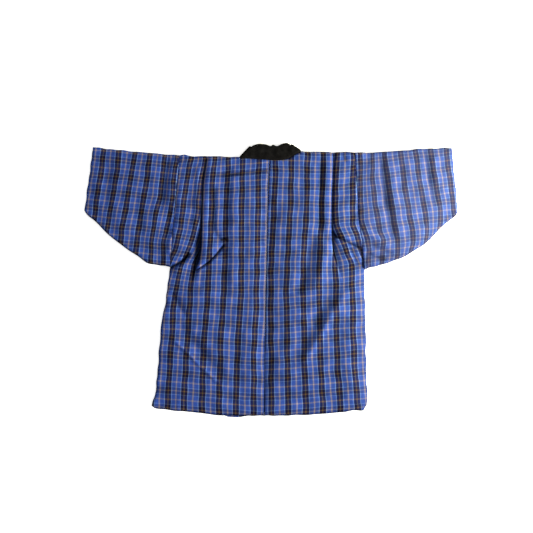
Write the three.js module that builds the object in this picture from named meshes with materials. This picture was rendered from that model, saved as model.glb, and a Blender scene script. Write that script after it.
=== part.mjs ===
import * as THREE from 'three';

// A short wadded jacket laid flat: its fronts lie on the floor and its back is up.
// Millimetres. X runs from cuff to cuff, Y from the hem up to the collar, Z up from the
// floor. The origin is on the floor, under the middle of the whole outline.

// The wadded cloth
const WALL = 7;                          // one layer: outer cloth, wadding and inner cloth
const SLIT = 0.6;                        // between the upper layer and the lower one
const SEAM_GAP = 0.3;                    // between two pieces that are sewn together
const SWELL = 2.5;                       // how far the wadding rises in the middle of a piece
const MIDDLE = WALL + SLIT / 2;          // height of the plane between the two layers
const BACK_UNDER = WALL + SLIT;          // height of the upper layer's inner face
const THINNEST = 1.6;                    // a layer is never thinner than this

// How a layer thins towards its borders: over what distance, and to what thickness
const EDGE = { over: 11, wall: 2.2 };    // side seam, and the seam under a sleeve
const SEAM = { over: 7, wall: 4.4 };     // centre back, armhole, neck and front edge
const HEM = { over: 10, wall: 3 };       // hem and cuff
const FOLD_DEPTH = 9;                    // from a folded top edge to the end of the slit inside

// Rows of points run from the hem up the back, over the shoulder fold and down the front.
// They stand close together where a layer is rounded, as shares of the height.
const HEM_ROWS = [0, 0.006, 0.015, 0.04];
const UNDER_ROWS = [0, 0.015, 0.035, 0.08];
const FOLD_TURNS = [45, 0, -45];         // degrees round the fold, between back and front
const BACK_STEPS = 11;                   // even steps of a back, above and below the armpit
const FRONT_STEPS = 3;                   // the same on the hidden fronts
const SLEEVE_STEPS = { back: 11, front: 4 };

// The seam up the middle of the back
const CENTRE_SEAM = [
  { y: -446, x: -23.5 },
  { y: 32, x: -17 },
  { y: 420, x: -4.5 },
];

// One half of the body. "share" counts from the centre seam (0) to the side (1).
const HALVES = [
  {
    name: 'body_left',
    armhole: { low: [-329, 42], high: [-298, 404.5] },
    side: [
      { y: 42, x: -329 },
      { y: 0, x: -335 },
      { y: -60, x: -342 },
      { y: -147, x: -358 },
      { y: -260, x: -367 },
      { y: -374, x: -378 },
      { y: -396, x: -387 },
      { y: -410, x: -388 },
    ],
    shoulder: [
      { share: 0.326, y: 399.3 },
      { share: 0.7, y: 399.3 },
      { share: 0.9, y: 404.5 },
      { share: 0.95, y: 409.5 },
      { share: 1, y: 404.5 },
    ],
    neck: [
      { share: 0, y: 388.6 },
      { share: 0.161, y: 389 },
      { share: 0.25, y: 389.6 },
      { share: 0.326, y: 390.3 },
    ],
    hem: [
      { share: 0, y: -439 },
      { share: 0.38, y: -437 },
      { share: 0.62, y: -428.5 },
      { share: 0.87, y: -421.5 },
      { share: 0.965, y: -418 },
      { share: 1, y: -409 },
    ],
    frontEdge: { low: [-105, -446], high: [-101.2, 400] },
    frontHem: [
      { share: 0, y: -445.5 },
      { share: 0.12, y: -444 },
      { share: 0.22, y: -432 },
      { share: 0.87, y: -417 },
      { share: 1, y: -409 },
    ],
    columns: [0, 0.02, 0.08, 0.161, 0.25, 0.326, 0.4, 0.5, 0.58, 0.64, 0.672, 0.7,
      0.728, 0.76, 0.82, 0.88, 0.93, 0.965, 0.987, 1],
    folds: [
      { from: [-210, 410], to: [-222, 172], deep: 5, wide: 9 },
      { from: [-222, 172], to: [-242, 38], deep: 4.5, wide: 12 },
      { from: [-242, 38], to: [-268, -50], deep: 3, wide: 16 },
      { from: [-159, 107], to: [-238, 29], deep: 3, wide: 13 },
      { from: [-330, 39], to: [-287, 62], deep: 3.5, wide: 12 },
      { from: [-310, -195], to: [-215, -283], deep: 1.5, wide: 22 },
    ],
  },
  {
    name: 'body_right',
    armhole: { low: [303, 32], high: [272.5, 414] },
    side: [
      { y: 32, x: 303 },
      { y: -69, x: 305 },
      { y: -179, x: 308 },
      { y: -320, x: 310 },
      { y: -384, x: 313 },
      { y: -407, x: 311.5 },
    ],
    shoulder: [
      { share: 0.364, y: 418.8 },
      { share: 0.5, y: 417 },
      { share: 0.74, y: 413.6 },
      { share: 0.88, y: 417.4 },
      { share: 1, y: 414 },
    ],
    neck: [
      { share: 0, y: 388.6 },
      { share: 0.084, y: 388.8 },
      { share: 0.217, y: 391.5 },
      { share: 0.286, y: 402.5 },
      { share: 0.364, y: 409.8 },
    ],
    hem: [
      { share: 0, y: -439 },
      { share: 0.25, y: -437.6 },
      { share: 0.5, y: -434 },
      { share: 0.75, y: -427 },
      { share: 0.88, y: -421.5 },
      { share: 0.96, y: -424 },
      { share: 1, y: -407 },
    ],
    frontEdge: { low: [1.5, -446], high: [95.2, 420] },
    frontHem: [
      { share: 0, y: -432 },
      { share: 0.7, y: -424 },
      { share: 0.9, y: -417 },
      { share: 1, y: -407 },
    ],
    columns: [0, 0.02, 0.084, 0.15, 0.217, 0.286, 0.364, 0.44, 0.52, 0.6, 0.65, 0.683,
      0.71, 0.74, 0.77, 0.82, 0.88, 0.93, 0.965, 0.987, 1],
    folds: [
      { from: [208, 420], to: [198, 298], deep: 4.5, wide: 9 },
      { from: [198, 298], to: [196, 146], deep: 4.5, wide: 9 },
      { from: [196, 146], to: [235, 126], deep: 4.5, wide: 12 },
      { from: [235, 126], to: [284, 101], deep: 4, wide: 12 },
      { from: [284, 101], to: [300, 38], deep: 3.5, wide: 12 },
      { from: [196, 143], to: [224, 16], deep: 2.5, wide: 15 },
    ],
  },
];

// One sleeve. "share" counts from the armhole (0) to the cuff (1).
const SLEEVES = [
  {
    name: 'sleeve_left',
    armhole: HALVES[0].armhole,
    top: [
      { share: 0, x: -298, y: 404.5 },
      { share: 0.34, x: -394, y: 410.5 },
      { share: 1, x: -579, y: 430.8 },
    ],
    under: [
      { share: 0, x: -329, y: 42 },
      { share: 0.083, x: -352, y: 47.5 },
      { share: 0.25, x: -398, y: 56 },
      { share: 0.426, x: -447, y: 89 },
      { share: 0.605, x: -497, y: 124 },
      { share: 0.76, x: -540, y: 159 },
      { share: 0.89, x: -576.5, y: 197 },
      { share: 0.96, x: -598, y: 212 },
      { share: 1, x: -607.5, y: 226 },
    ],
    folds: [
      { from: [-330, 250], to: [-352, 60], deep: 2.5, wide: 12 },
      { from: [-430, 300], to: [-420, 90], deep: 1.6, wide: 18 },
      { from: [-520, 400], to: [-545, 240], deep: 1.4, wide: 18 },
    ],
  },
  {
    name: 'sleeve_right',
    armhole: HALVES[1].armhole,
    top: [
      { share: 0, x: 272.5, y: 414 },
      { share: 0.46, x: 418.5, y: 425 },
      { share: 1, x: 587.5, y: 430 },
    ],
    under: [
      { share: 0, x: 303, y: 32 },
      { share: 0.061, x: 321, y: 42 },
      { share: 0.146, x: 347, y: 48.5 },
      { share: 0.274, x: 386, y: 61.5 },
      { share: 0.381, x: 418.5, y: 72 },
      { share: 0.503, x: 456, y: 93 },
      { share: 0.626, x: 493.5, y: 115 },
      { share: 0.723, x: 523, y: 141 },
      { share: 0.837, x: 557.5, y: 178.5 },
      { share: 0.919, x: 582.5, y: 198.5 },
      { share: 0.98, x: 601, y: 210 },
      { share: 1, x: 607.5, y: 224 },
    ],
    folds: [
      { from: [367, 406], to: [409, 113], deep: 2.2, wide: 14 },
      { from: [503, 419], to: [519, 305], deep: 1.6, wide: 14 },
      { from: [330, 130], to: [355, 60], deep: 2, wide: 12 },
    ],
  },
];
const SLEEVE_COLUMNS = [0, 0.03, 0.083, 0.16, 0.25, 0.34, 0.43, 0.52, 0.61, 0.69, 0.77,
  0.84, 0.9, 0.95, 0.98, 1];

// The collar band, section by section, from the left front hem round the neck to the right
// front hem. It lies face down along each front edge, folds over at the neck's two ends, and
// lies face up at the back of the neck. "free" is its free edge; its seam with the body is at
// "seamY" on the front edge, or at "seam" along the back of the neck.
const BAND_ROUND = { over: 8, wall: 3.4 };
const BAND_COLUMNS = [0, 0.07, 0.18, 0.5, 0.82, 0.93, 1];
const BAND_TURNS = [-90, -60, -30, 0, 30, 60, 90];       // degrees, face down to face up
const LEFT_FRONT_BAND = [
  { seamY: -445.2, free: [-54, -434] },
  { seamY: -434, free: [-54, -425] },
  { seamY: -200, free: [-52, -200] },
  { seamY: 80, free: [-50.5, 80] },
  { seamY: 290, free: [-50, 285] },
  { seamY: 350, free: [-54, 362] },
  { seamY: 380, free: [-59, 405] },
];
const LEFT_NECK_FOLD = { seam: [-96.5, 391.5], free: [-62.5, 428.5] };
const NECK_BAND = [
  { seam: [-78, 390.5], free: [-55, 438] },
  { seam: [-52.5, 389.6], free: [-39, 442] },
  { seam: [-24, 389.2], free: [-19, 440] },
  { seam: [-1, 389], free: [0, 434.5] },
  { seam: [18, 389.5], free: [17, 437.5] },
  { seam: [37, 391.5], free: [33, 443] },
  { seam: [56, 395], free: [44, 445.5] },
  { seam: [76, 406.5], free: [51.5, 443] },
];
const RIGHT_NECK_FOLD = { seam: [89.5, 413.5], free: [57, 435] };
const RIGHT_FRONT_BAND = [
  { seamY: 397, free: [46, 411] },
  { seamY: 365, free: [37, 367] },
  { seamY: 200, free: [19.5, 200] },
  { seamY: -50, free: [-7, -50] },
  { seamY: -290, free: [-33, -290] },
  { seamY: -430, free: [-47.5, -430] },
];

// Colour, roughness and metalness
const CHECKED_COTTON = new THREE.MeshStandardMaterial({
  color: 0x34529f, roughness: 0.78, metalness: 0,
});
const BLACK_COTTON = new THREE.MeshStandardMaterial({
  color: 0x161617, roughness: 0.9, metalness: 0,
});

const mix = (a, b, share) => a + (b - a) * share;

// The value of one column of a table at a place in another, in straight lines
function along(table, key, at, value) {
  const rising = table[0][key] < table[table.length - 1][key];
  const rows = rising ? table : [...table].reverse();
  const next = rows.findIndex((row) => row[key] >= at);
  if (next === 0) return rows[0][value];
  if (next < 0) return rows[rows.length - 1][value];
  const [low, high] = [rows[next - 1], rows[next]];
  return mix(low[value], high[value], (at - low[key]) / (high[key] - low[key]));
}

// X of a straight line between two points, at a height up the garment
const xOnLine = ({ low, high }, y) => mix(low[0], high[0], (y - low[1]) / (high[1] - low[1]));

// A layer's thickness near a border, as a share of its full thickness
function thinning(distance, border) {
  const inward = Math.min(Math.max(distance, 0) / border.over, 1);
  const least = border.wall / WALL;
  return least + (1 - least) * Math.sqrt(1 - (1 - inward) ** 2);
}

// How deep all the folds are at a point: each is a soft trough along a line
function foldDepth(folds, x, y) {
  let depth = 0;
  for (const { from, to, deep, wide } of folds) {
    const [dx, dy] = [to[0] - from[0], to[1] - from[1]];
    const share = ((x - from[0]) * dx + (y - from[1]) * dy) / (dx * dx + dy * dy);
    const held = Math.min(Math.max(share, 0), 1);
    const away = Math.hypot(x - from[0] - held * dx, y - from[1] - held * dy);
    depth = Math.max(depth, deep * Math.exp(-((away / wide) ** 2)));
  }
  return depth;
}

// Thickness of an upper layer: fullest in the middle of the piece, thin in a fold
function upperLayer(fullness, s, t, depth) {
  const swell = SWELL * Math.sin(Math.PI * s) * Math.sqrt(Math.sin(Math.PI * t));
  return Math.max(THINNEST, (WALL + swell) * fullness - depth);
}

// A closed wall between paired outer and inner points, rows by columns. isCloth(i, j) says
// whether the cell between rows i, i + 1 and columns j, j + 1 is there.
function wall(outer, inner, isCloth) {
  const positions = [];
  const faces = [];
  const known = new Map();
  const corner = (grid, i, j) => {
    const key = `${grid === outer ? 'o' : 'i'},${i},${j}`;
    if (!known.has(key)) {
      known.set(key, positions.length / 3);
      positions.push(...grid[i][j]);
    }
    return known.get(key);
  };
  const quad = (a, b, c, d) => faces.push(a, b, c, a, c, d);
  const there = (i, j) => i >= 0 && j >= 0 && i < outer.length - 1
    && j < outer[0].length - 1 && isCloth(i, j);
  for (let i = 0; i < outer.length - 1; i += 1) {
    for (let j = 0; j < outer[0].length - 1; j += 1) {
      if (there(i, j)) {
        const around = [[i, j], [i + 1, j], [i + 1, j + 1], [i, j + 1]];
        const out = around.map(([row, column]) => corner(outer, row, column));
        const inn = around.map(([row, column]) => corner(inner, row, column));
        quad(...out);
        quad(inn[3], inn[2], inn[1], inn[0]);
        const neighbours = [[i, j - 1], [i + 1, j], [i, j + 1], [i - 1, j]];
        neighbours.forEach(([row, column], side) => {
          const next = (side + 1) % 4;
          if (!there(row, column)) quad(out[next], out[side], inn[side], inn[next]);
        });
      }
    }
  }
  return facingOut(positions, faces);
}

// A mesh geometry whose faces point out, whichever way round its grid ran
function facingOut(positions, faces) {
  const at = (index) => new THREE.Vector3().fromArray(positions, index * 3);
  let volume = 0;
  for (let f = 0; f < faces.length; f += 3) {
    volume += at(faces[f]).dot(at(faces[f + 1]).cross(at(faces[f + 2])));
  }
  const index = volume > 0 ? faces : [...faces].reverse();
  const geometry = new THREE.BufferGeometry();
  geometry.setAttribute('position', new THREE.Float32BufferAttribute(positions, 3));
  geometry.setIndex(index);
  geometry.computeVertexNormals();
  return geometry;
}

function mesh(name, geometry, material) {
  const piece = new THREE.Mesh(geometry, material);
  piece.name = name;
  return piece;
}

// Even steps between two numbers, both ends included
const steps = (low, high, count) => Array.from(
  { length: count + 1 }, (_, k) => mix(low, high, k / count));

// place(layer, row, column) gives x and y of a point on the back or front, cover(layer, x, y,
// row, column) its thickness. The rows of both layers count up from the hem or the under seam.
function foldedWall({ backRows, frontRows, columns, place, cover, isCloth }) {
  const outer = [];
  const inner = [];
  const addRow = (row) => {
    outer.push(row.map((pair) => pair.outer));
    inner.push(row.map((pair) => pair.inner));
  };
  const backPair = (t, s) => {
    const [x, y] = place('back', t, s);
    return {
      outer: [x, y, BACK_UNDER + cover('back', x, y, t, s)], inner: [x, y, BACK_UNDER],
    };
  };
  const frontPair = (t, s) => {
    const [x, y] = place('front', t, s);
    return { outer: [x, y, WALL - cover('front', x, y, t, s)], inner: [x, y, WALL] };
  };
  // Round the fold: half an ellipse outside, a half circle at the end of the slit inside
  const foldPair = (degrees, s) => {
    const angle = THREE.MathUtils.degToRad(degrees);
    const top = backPair(1, s).outer;
    const bottom = frontPair(1, s).outer;
    const rise = degrees > 0 ? top[2] - MIDDLE : MIDDLE - bottom[2];
    const x = mix(bottom[0], top[0], (Math.sin(angle) + 1) / 2);
    const y = mix(bottom[1], top[1], (Math.sin(angle) + 1) / 2);
    return {
      outer: [x, y + FOLD_DEPTH * Math.cos(angle), MIDDLE + rise * Math.sin(angle)],
      inner: [x, y + (SLIT / 2) * Math.cos(angle), MIDDLE + (SLIT / 2) * Math.sin(angle)],
    };
  };
  backRows.forEach((t) => addRow(columns.map((s) => backPair(t, s))));
  FOLD_TURNS.forEach((degrees) => addRow(columns.map((s) => foldPair(degrees, s))));
  [...frontRows].reverse().forEach((t) => addRow(columns.map((s) => frontPair(t, s))));
  return wall(outer, inner, isCloth);
}

function bodyHalf(half) {
  const inwards = half.armhole.low[0] < 0 ? 1 : -1;      // from the side to the centre, in x
  const neckShare = half.neck[half.neck.length - 1].share;
  const neckColumn = half.columns.indexOf(neckShare);
  const armpit = half.armhole.low[1];

  const centreX = (y) => along(CENTRE_SEAM, 'y', y, 'x') - (inwards * SEAM_GAP) / 2;
  const sideX = (y) => (y >= armpit
    ? xOnLine(half.armhole, y) + (inwards * SEAM_GAP) / 2
    : along(half.side, 'y', y, 'x') + (inwards * SEAM_GAP) / 2);
  const topY = (s) => (s < neckShare
    ? along(half.neck, 'share', s, 'y')
    : along(half.shoulder, 'share', s, 'y') - FOLD_DEPTH);
  const frontShare = (s) => Math.max(0, (s - neckShare) / (1 - neckShare));

  const place = (layer, t, s) => {
    if (layer === 'back') {
      const y = mix(along(half.hem, 'share', s, 'y'), topY(s), t);
      return [mix(centreX(y), sideX(y), s), y];
    }
    const share = frontShare(s);
    const y = mix(along(half.frontHem, 'share', share, 'y'), topY(Math.max(s, neckShare)), t);
    return [mix(xOnLine(half.frontEdge, y), sideX(y), share), y];
  };

  const cover = (layer, x, y, t, s) => {
    const edgeX = layer === 'back' ? centreX(y) : xOnLine(half.frontEdge, y);
    const toHem = t * (topY(s) - along(half.hem, 'share', s, 'y'));
    const toNeck = s < neckShare ? topY(s) - y : Infinity;
    const fullness = Math.min(
      thinning(Math.abs(x - edgeX), SEAM),
      thinning(Math.abs(x - sideX(y)), y > armpit ? SEAM : EDGE),
      thinning(toHem, HEM),
      layer === 'back' ? thinning(toNeck, SEAM) : 1,
    );
    if (layer === 'front') return WALL * fullness;
    return upperLayer(fullness, s, t, foldDepth(half.folds, x, y));
  };

  // Rows through both armpits, so that the seams of the two halves and the sleeves meet
  const armpitRows = HALVES.map(({ armhole, hem, shoulder }) => {
    const low = hem[hem.length - 1].y;
    return (armhole.low[1] - low) / (shoulder[shoulder.length - 1].y - FOLD_DEPTH - low);
  });
  const [lower, upper] = [Math.min(...armpitRows), Math.max(...armpitRows)];
  const [hemEnd, , hemMiddle, hemTop] = HEM_ROWS;
  const backRows = [...HEM_ROWS, ...steps(hemTop, lower, BACK_STEPS).slice(1),
    ...steps(upper, 1, BACK_STEPS)];
  const frontRows = [hemEnd, hemMiddle, ...steps(hemTop, lower, FRONT_STEPS),
    ...steps(upper, 1, FRONT_STEPS)];
  const isCloth = (i, j) => i < backRows.length - 1 || j >= neckColumn;
  const geometry = foldedWall({
    backRows, frontRows, columns: half.columns, place, cover, isCloth,
  });
  return mesh(half.name, geometry, CHECKED_COTTON);
}

function sleeve(shape) {
  const outwards = Math.sign(shape.armhole.low[0]);      // from the armhole to the cuff, in x
  const { top, under, armhole } = shape;
  const lowY = (s) => along(under, 'share', s, 'y');
  const highY = (s) => along(top, 'share', s, 'y') - FOLD_DEPTH;

  const place = (layer, t, s) => {
    const y = mix(lowY(s), highY(s), t);
    const column = {
      low: [along(under, 'share', s, 'x'), lowY(s)],
      high: [along(top, 'share', s, 'x'), along(top, 'share', s, 'y')],
    };
    return [xOnLine(s === 0 ? armhole : column, y) + (outwards * SEAM_GAP) / 2 * (1 - s), y];
  };

  const cover = (layer, x, y, t, s) => {
    const cuffX = place(layer, t, 1)[0];
    const fullness = Math.min(
      thinning(Math.abs(x - xOnLine(armhole, y)), SEAM),
      thinning(Math.abs(cuffX - x), HEM),
      thinning(y - lowY(s), EDGE),
    );
    if (layer === 'front') return WALL * fullness;
    return upperLayer(fullness, s, t, foldDepth(shape.folds, x, y));
  };

  const [underEnd, , underMiddle, underTop] = UNDER_ROWS;
  const backRows = [...UNDER_ROWS, ...steps(underTop, 1, SLEEVE_STEPS.back).slice(1)];
  const frontRows = [underEnd, underMiddle, ...steps(underTop, 1, SLEEVE_STEPS.front)];
  const geometry = foldedWall({
    backRows, frontRows, columns: SLEEVE_COLUMNS, place, cover, isCloth: () => true,
  });
  return mesh(shape.name, geometry, CHECKED_COTTON);
}

// The band's sections in order, with the way each one's outer face looks
function bandSections() {
  const frontBand = (rows, half) => rows.map(({ seamY, free }) => {
    const gap = Math.sign(half.armhole.low[0]) * SEAM_GAP;
    return { seam: [xOnLine(half.frontEdge, seamY) - gap, seamY], free, turn: BAND_TURNS[0] };
  });
  const folded = (fold, turns) => turns.map((turn) => ({ ...fold, turn }));
  return [
    ...frontBand(LEFT_FRONT_BAND, HALVES[0]),
    ...folded(LEFT_NECK_FOLD, BAND_TURNS),
    ...NECK_BAND.map((section) => ({ ...section, turn: BAND_TURNS[BAND_TURNS.length - 1] })),
    ...folded(RIGHT_NECK_FOLD, [...BAND_TURNS].reverse()),
    ...frontBand(RIGHT_FRONT_BAND, HALVES[1]),
  ];
}

function collar() {
  const bend = (WALL + SLIT) / 2;                        // radius of the band's middle at a fold
  const outer = [];
  const inner = [];
  for (const { seam, free, turn } of bandSections()) {
    const angle = THREE.MathUtils.degToRad(turn);
    const across = [free[0] - seam[0], free[1] - seam[1]];
    const width = Math.hypot(...across);
    const away = seam[0] < 0 ? [-across[1] / width, across[0] / width]
      : [across[1] / width, -across[0] / width];         // out past the fold, in the floor plane
    const facing = [away[0] * Math.cos(angle), away[1] * Math.cos(angle), Math.sin(angle)];
    const point = (share, offset) => [
      mix(seam[0], free[0], share) + facing[0] * offset,
      mix(seam[1], free[1], share) + facing[1] * offset,
      MIDDLE + facing[2] * offset,
    ];
    const thickness = (share) => WALL * thinning(Math.min(share, 1 - share) * width, BAND_ROUND);
    outer.push(BAND_COLUMNS.map((share) => point(share, bend - WALL / 2 + thickness(share))));
    inner.push(BAND_COLUMNS.map((share) => point(share, bend - WALL / 2)));
  }
  return mesh('collar', wall(outer, inner, () => true), BLACK_COTTON);
}

// The whole garment, with the origin under the middle of its outline

const hanten = new THREE.Group();
hanten.add(...HALVES.map(bodyHalf), ...SLEEVES.map(sleeve), collar());

const outline = new THREE.Box3().setFromObject(hanten);
const middle = outline.getCenter(new THREE.Vector3());
hanten.position.set(-middle.x, -middle.y, -outline.min.z);

export default hanten;
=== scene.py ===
import bpy
import numpy as np
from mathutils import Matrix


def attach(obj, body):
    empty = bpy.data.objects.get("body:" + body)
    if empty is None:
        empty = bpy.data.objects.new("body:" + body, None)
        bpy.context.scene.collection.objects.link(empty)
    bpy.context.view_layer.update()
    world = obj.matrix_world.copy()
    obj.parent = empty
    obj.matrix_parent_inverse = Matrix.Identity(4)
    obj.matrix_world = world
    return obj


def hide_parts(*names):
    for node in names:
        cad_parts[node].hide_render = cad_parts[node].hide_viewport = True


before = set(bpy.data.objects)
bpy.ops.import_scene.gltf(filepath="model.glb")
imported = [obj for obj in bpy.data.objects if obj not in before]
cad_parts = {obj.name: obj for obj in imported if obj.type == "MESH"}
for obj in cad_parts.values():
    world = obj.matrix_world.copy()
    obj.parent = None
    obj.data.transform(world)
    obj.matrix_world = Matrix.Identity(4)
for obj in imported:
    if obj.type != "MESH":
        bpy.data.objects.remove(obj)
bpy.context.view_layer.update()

metre = 0.001
print("frame loaded:", ", ".join(sorted(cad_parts)))


def newObject(name, data):
    made = bpy.data.objects.new(name, data)
    bpy.context.scene.collection.objects.link(made)
    return made


# Camera, straight above the garment

cameraSetup = {
    "aimedAt": (-15.3, 43.4),    # the middle of the picture
    "across": 1732.25,           # what the picture's width takes in, at the cloth's height
    "clothHeight": 12,
    "distance": 4000,
    "sensor": 36,
}


def overheadCamera(setup):
    data = bpy.data.cameras.new("overheadCamera")
    data.sensor_width = setup["sensor"]
    data.lens = setup["sensor"] * setup["distance"] / setup["across"]
    camera = newObject("overheadCamera", data)
    x, y = setup["aimedAt"]
    camera.location = np.array([x, y, setup["clothHeight"] + setup["distance"]]) * metre
    return camera


bpy.context.scene.camera = overheadCamera(cameraSetup)
bpy.context.scene.view_settings.view_transform = "Standard"
print("camera set")


# Curves and reliefs that every piece uses

def smoothCurve(at, places, values):
    # Cubic pieces through the points (places, values). The slope at a point is the harmonic
    # mean of the slopes on its two sides, or none at a peak, so the curve never overshoots.
    places, values = np.asarray(places, float), np.asarray(values, float)
    order = np.argsort(places)
    places, values = places[order], values[order]
    gaps = np.diff(places)
    slopes = np.diff(values) / gaps
    before, after = slopes[:-1], slopes[1:]
    both = before * after > 0
    inner = np.where(both, 2 * before * after / np.where(both, before + after, 1), 0)
    tangents = np.concatenate([slopes[:1], inner, slopes[-1:]])
    at = np.clip(at, places[0], places[-1])
    cell = np.clip(np.searchsorted(places, at, side="right") - 1, 0, len(gaps) - 1)
    w = (at - places[cell]) / gaps[cell]
    return (values[cell] * (1 + 2 * w) * (1 - w) ** 2
            + values[cell + 1] * w ** 2 * (3 - 2 * w)
            + gaps[cell] * w * (1 - w) * (tangents[cell] * (1 - w) - tangents[cell + 1] * w))


def xAt(table, y):
    return smoothCurve(y, table["y"], table["x"])


def yAt(table, share):
    return smoothCurve(share, table["share"], table["y"])


def blend(low, high, share):
    return low + (high - low) * share


def crowdedShares(count, crowds):
    # Shares from 0 to 1, close together near each crowd (at, reach, weight): the inverse of
    # the running sum of the density 1 + weight * exp(-(distance / reach)^2).
    fineSteps = 4001
    fine = np.linspace(0, 1, fineSteps)
    density = np.ones_like(fine)
    for at, reach, weight in crowds:
        density += weight * np.exp(-((fine - at) / reach) ** 2)
    total = np.concatenate([[0], np.cumsum((density[1:] + density[:-1]) / 2)])
    return np.interp(np.linspace(0, total[-1], count), total, fine)


def fullness(distance, border):
    # How thick a layer is near a border, as a share of its thickness further in: a quarter
    # ellipse that rises from the border's own share over its reach.
    inward = np.clip(distance / border["over"], 0, 1)
    return border["share"] + (1 - border["share"]) * np.sqrt(1 - (1 - inward) ** 2)


def nearestOnPath(x, y, path):
    # Distance to a path of straight stretches, and how far along it the nearest point is, 0-1
    path = np.asarray(path, float)
    steps = np.diff(path, axis=0)
    lengths = np.hypot(*steps.T)
    before = np.concatenate([[0], np.cumsum(lengths)])
    away, along = np.full(x.shape, np.inf), np.zeros(x.shape)
    for (px, py), (dx, dy), length, passed in zip(path, steps, lengths, before):
        held = np.clip(((x - px) * dx + (y - py) * dy) / length ** 2, 0, 1)
        distance = np.hypot(x - px - held * dx, y - py - held * dy)
        along = np.where(distance < away, (passed + held * length) / before[-1], along)
        away = np.minimum(away, distance)
    return away, along


creasing = {
    "depth": 1.5,              # every crease's depth is multiplied by this
    "fade": 0.15,              # share of its length over which a crease fades at each end
}


def creaseDepth(x, y, creases, narrow=np.inf):
    # Each crease is a soft trough along a path, deep * exp(-(distance / wide)^2), that fades
    # towards its ends. A negative depth is a ridge. A crease wider than narrow counts less.
    # It is given as depth, width, path and, if it isn't the usual one, fade.
    depth = np.zeros(x.shape)
    for deep, wide, path, *fade in creases:
        away, along = nearestOnPath(x, y, path)
        over = fade[0] if fade else creasing["fade"]
        ends = np.clip(np.minimum(along, 1 - along) / over, 0, 1)
        deep = creasing["depth"] * deep * min(1, narrow / wide)
        depth += deep * np.exp(-((away / wide) ** 2)) * np.sqrt(ends)
    return depth


lapping = {
    "slope": 1.5,              # how square the outer slope is: exp(-(distance / dive)^slope)
    "rollAt": 14, "rollReach": 9,        # the roll of cloth inside the fold's edge
    "rollDeep": 4,             # the fold's depth from which the roll has its full height
}


def lapDepth(x, y, lap, outwards):
    # A fold where the outer part of the cloth dives under the inner part: a steep drop on the
    # inner side of the line x(y), a slope back up on the outer side, and a roll before it.
    away = (x - xAt(lap, y)) * outwards
    deep = smoothCurve(y, lap["y"], lap["deep"])
    dive = smoothCurve(y, lap["y"], lap["dive"])
    outer = np.exp(-((np.maximum(away, 0) / dive) ** lapping["slope"]))
    inner = np.exp(-((np.minimum(away, 0) / lap["lip"]) ** 2))
    roll = lap["roll"] * np.exp(-(((away + lapping["rollAt"]) / lapping["rollReach"]) ** 2))
    return deep * np.where(away > 0, outer, inner) - roll * np.clip(
        deep / lapping["rollDeep"], 0, 1)


# Painted shade and light: how much darker troughs, thin borders and rolled edges are made, and
# how much paler ridges are
paintedShading = {
    "depth": 0.05, "depthSquared": 0.022,    # for each millimetre of a trough's depth
    "border": 0.5,             # where a border is thin
    "ridge": -0.2,             # the least: a ridge is paler than the flat cloth
    "rimReach": 4.5,           # of the dark line under a rolled edge
}


def paintedShadeShare(trough, full):
    # The painted shade of a point, up to 1 at the bottom of a fold or a seam: from the trough's
    # depth and its square, with its sign, and what the border takes off the wadding. A ridge
    # gets a negative share, which is a painted highlight.
    squared = trough * abs(trough)
    return np.clip(paintedShading["depth"] * trough + paintedShading["depthSquared"] * squared
                   + paintedShading["border"] * (1 - full), paintedShading["ridge"], 1)


def rimShade(distance, share):
    # Painted shade: the dark line under a rolled edge, share * exp(-(distance / reach)^2)
    return share * np.exp(-((distance / paintedShading["rimReach"]) ** 2))


edgeWaves = {
    "quick": {"height": 0.8, "length": 8.3, "sway": 2, "swayLength": 57},
    "slow": {"height": 0.7, "length": 15.1, "phase": 1},
}


def ripple(along):
    # The small waves of a padded edge: height * sin(along / length) for a quick and a slow
    # one, and the quick one's phase sways
    quick, slow = edgeWaves["quick"], edgeWaves["slow"]
    sway = quick["sway"] * np.sin(along / quick["swayLength"])
    return (quick["height"] * np.sin(along / quick["length"] + sway)
            + slow["height"] * np.sin(along / slow["length"] + slow["phase"]))


def unevenness(x, y, waves):
    # The way wadding settles: a sum of sine waves of random direction, phase and length
    random = np.random.default_rng(waves["seed"])
    height = np.zeros(x.shape)
    for _ in range(waves["count"]):
        angle, phase = random.uniform(0, 2 * np.pi, 2)
        length = random.uniform(*waves["lengths"])
        across = x * np.cos(angle) + y * np.sin(angle)
        height += np.sin(2 * np.pi * across / length + phase)
    return waves["height"] * height / np.sqrt(waves["count"] / 2)


puckering = {
    "wander": ((0.9, 61), (0.6, 23)),    # sines that change the pitch: size, length
    "strength": {"mean": 0.6, "change": 0.4, "length": 47, "phase": 1},
}


def puckers(distance, along, pucker):
    # Short gathers beside a seam: waves across it, of changing pitch, that die away inwards
    turns = along / pucker["pitch"]
    for size, length in puckering["wander"]:
        turns = turns + size * np.sin(along / length)
    change = puckering["strength"]
    strength = change["mean"] + change["change"] * np.sin(along / change["length"]
                                                          + change["phase"])
    return (pucker["height"] * strength * np.sin(2 * np.pi * turns)
            * np.exp(-distance / pucker["reach"]))


# Meshes

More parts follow.
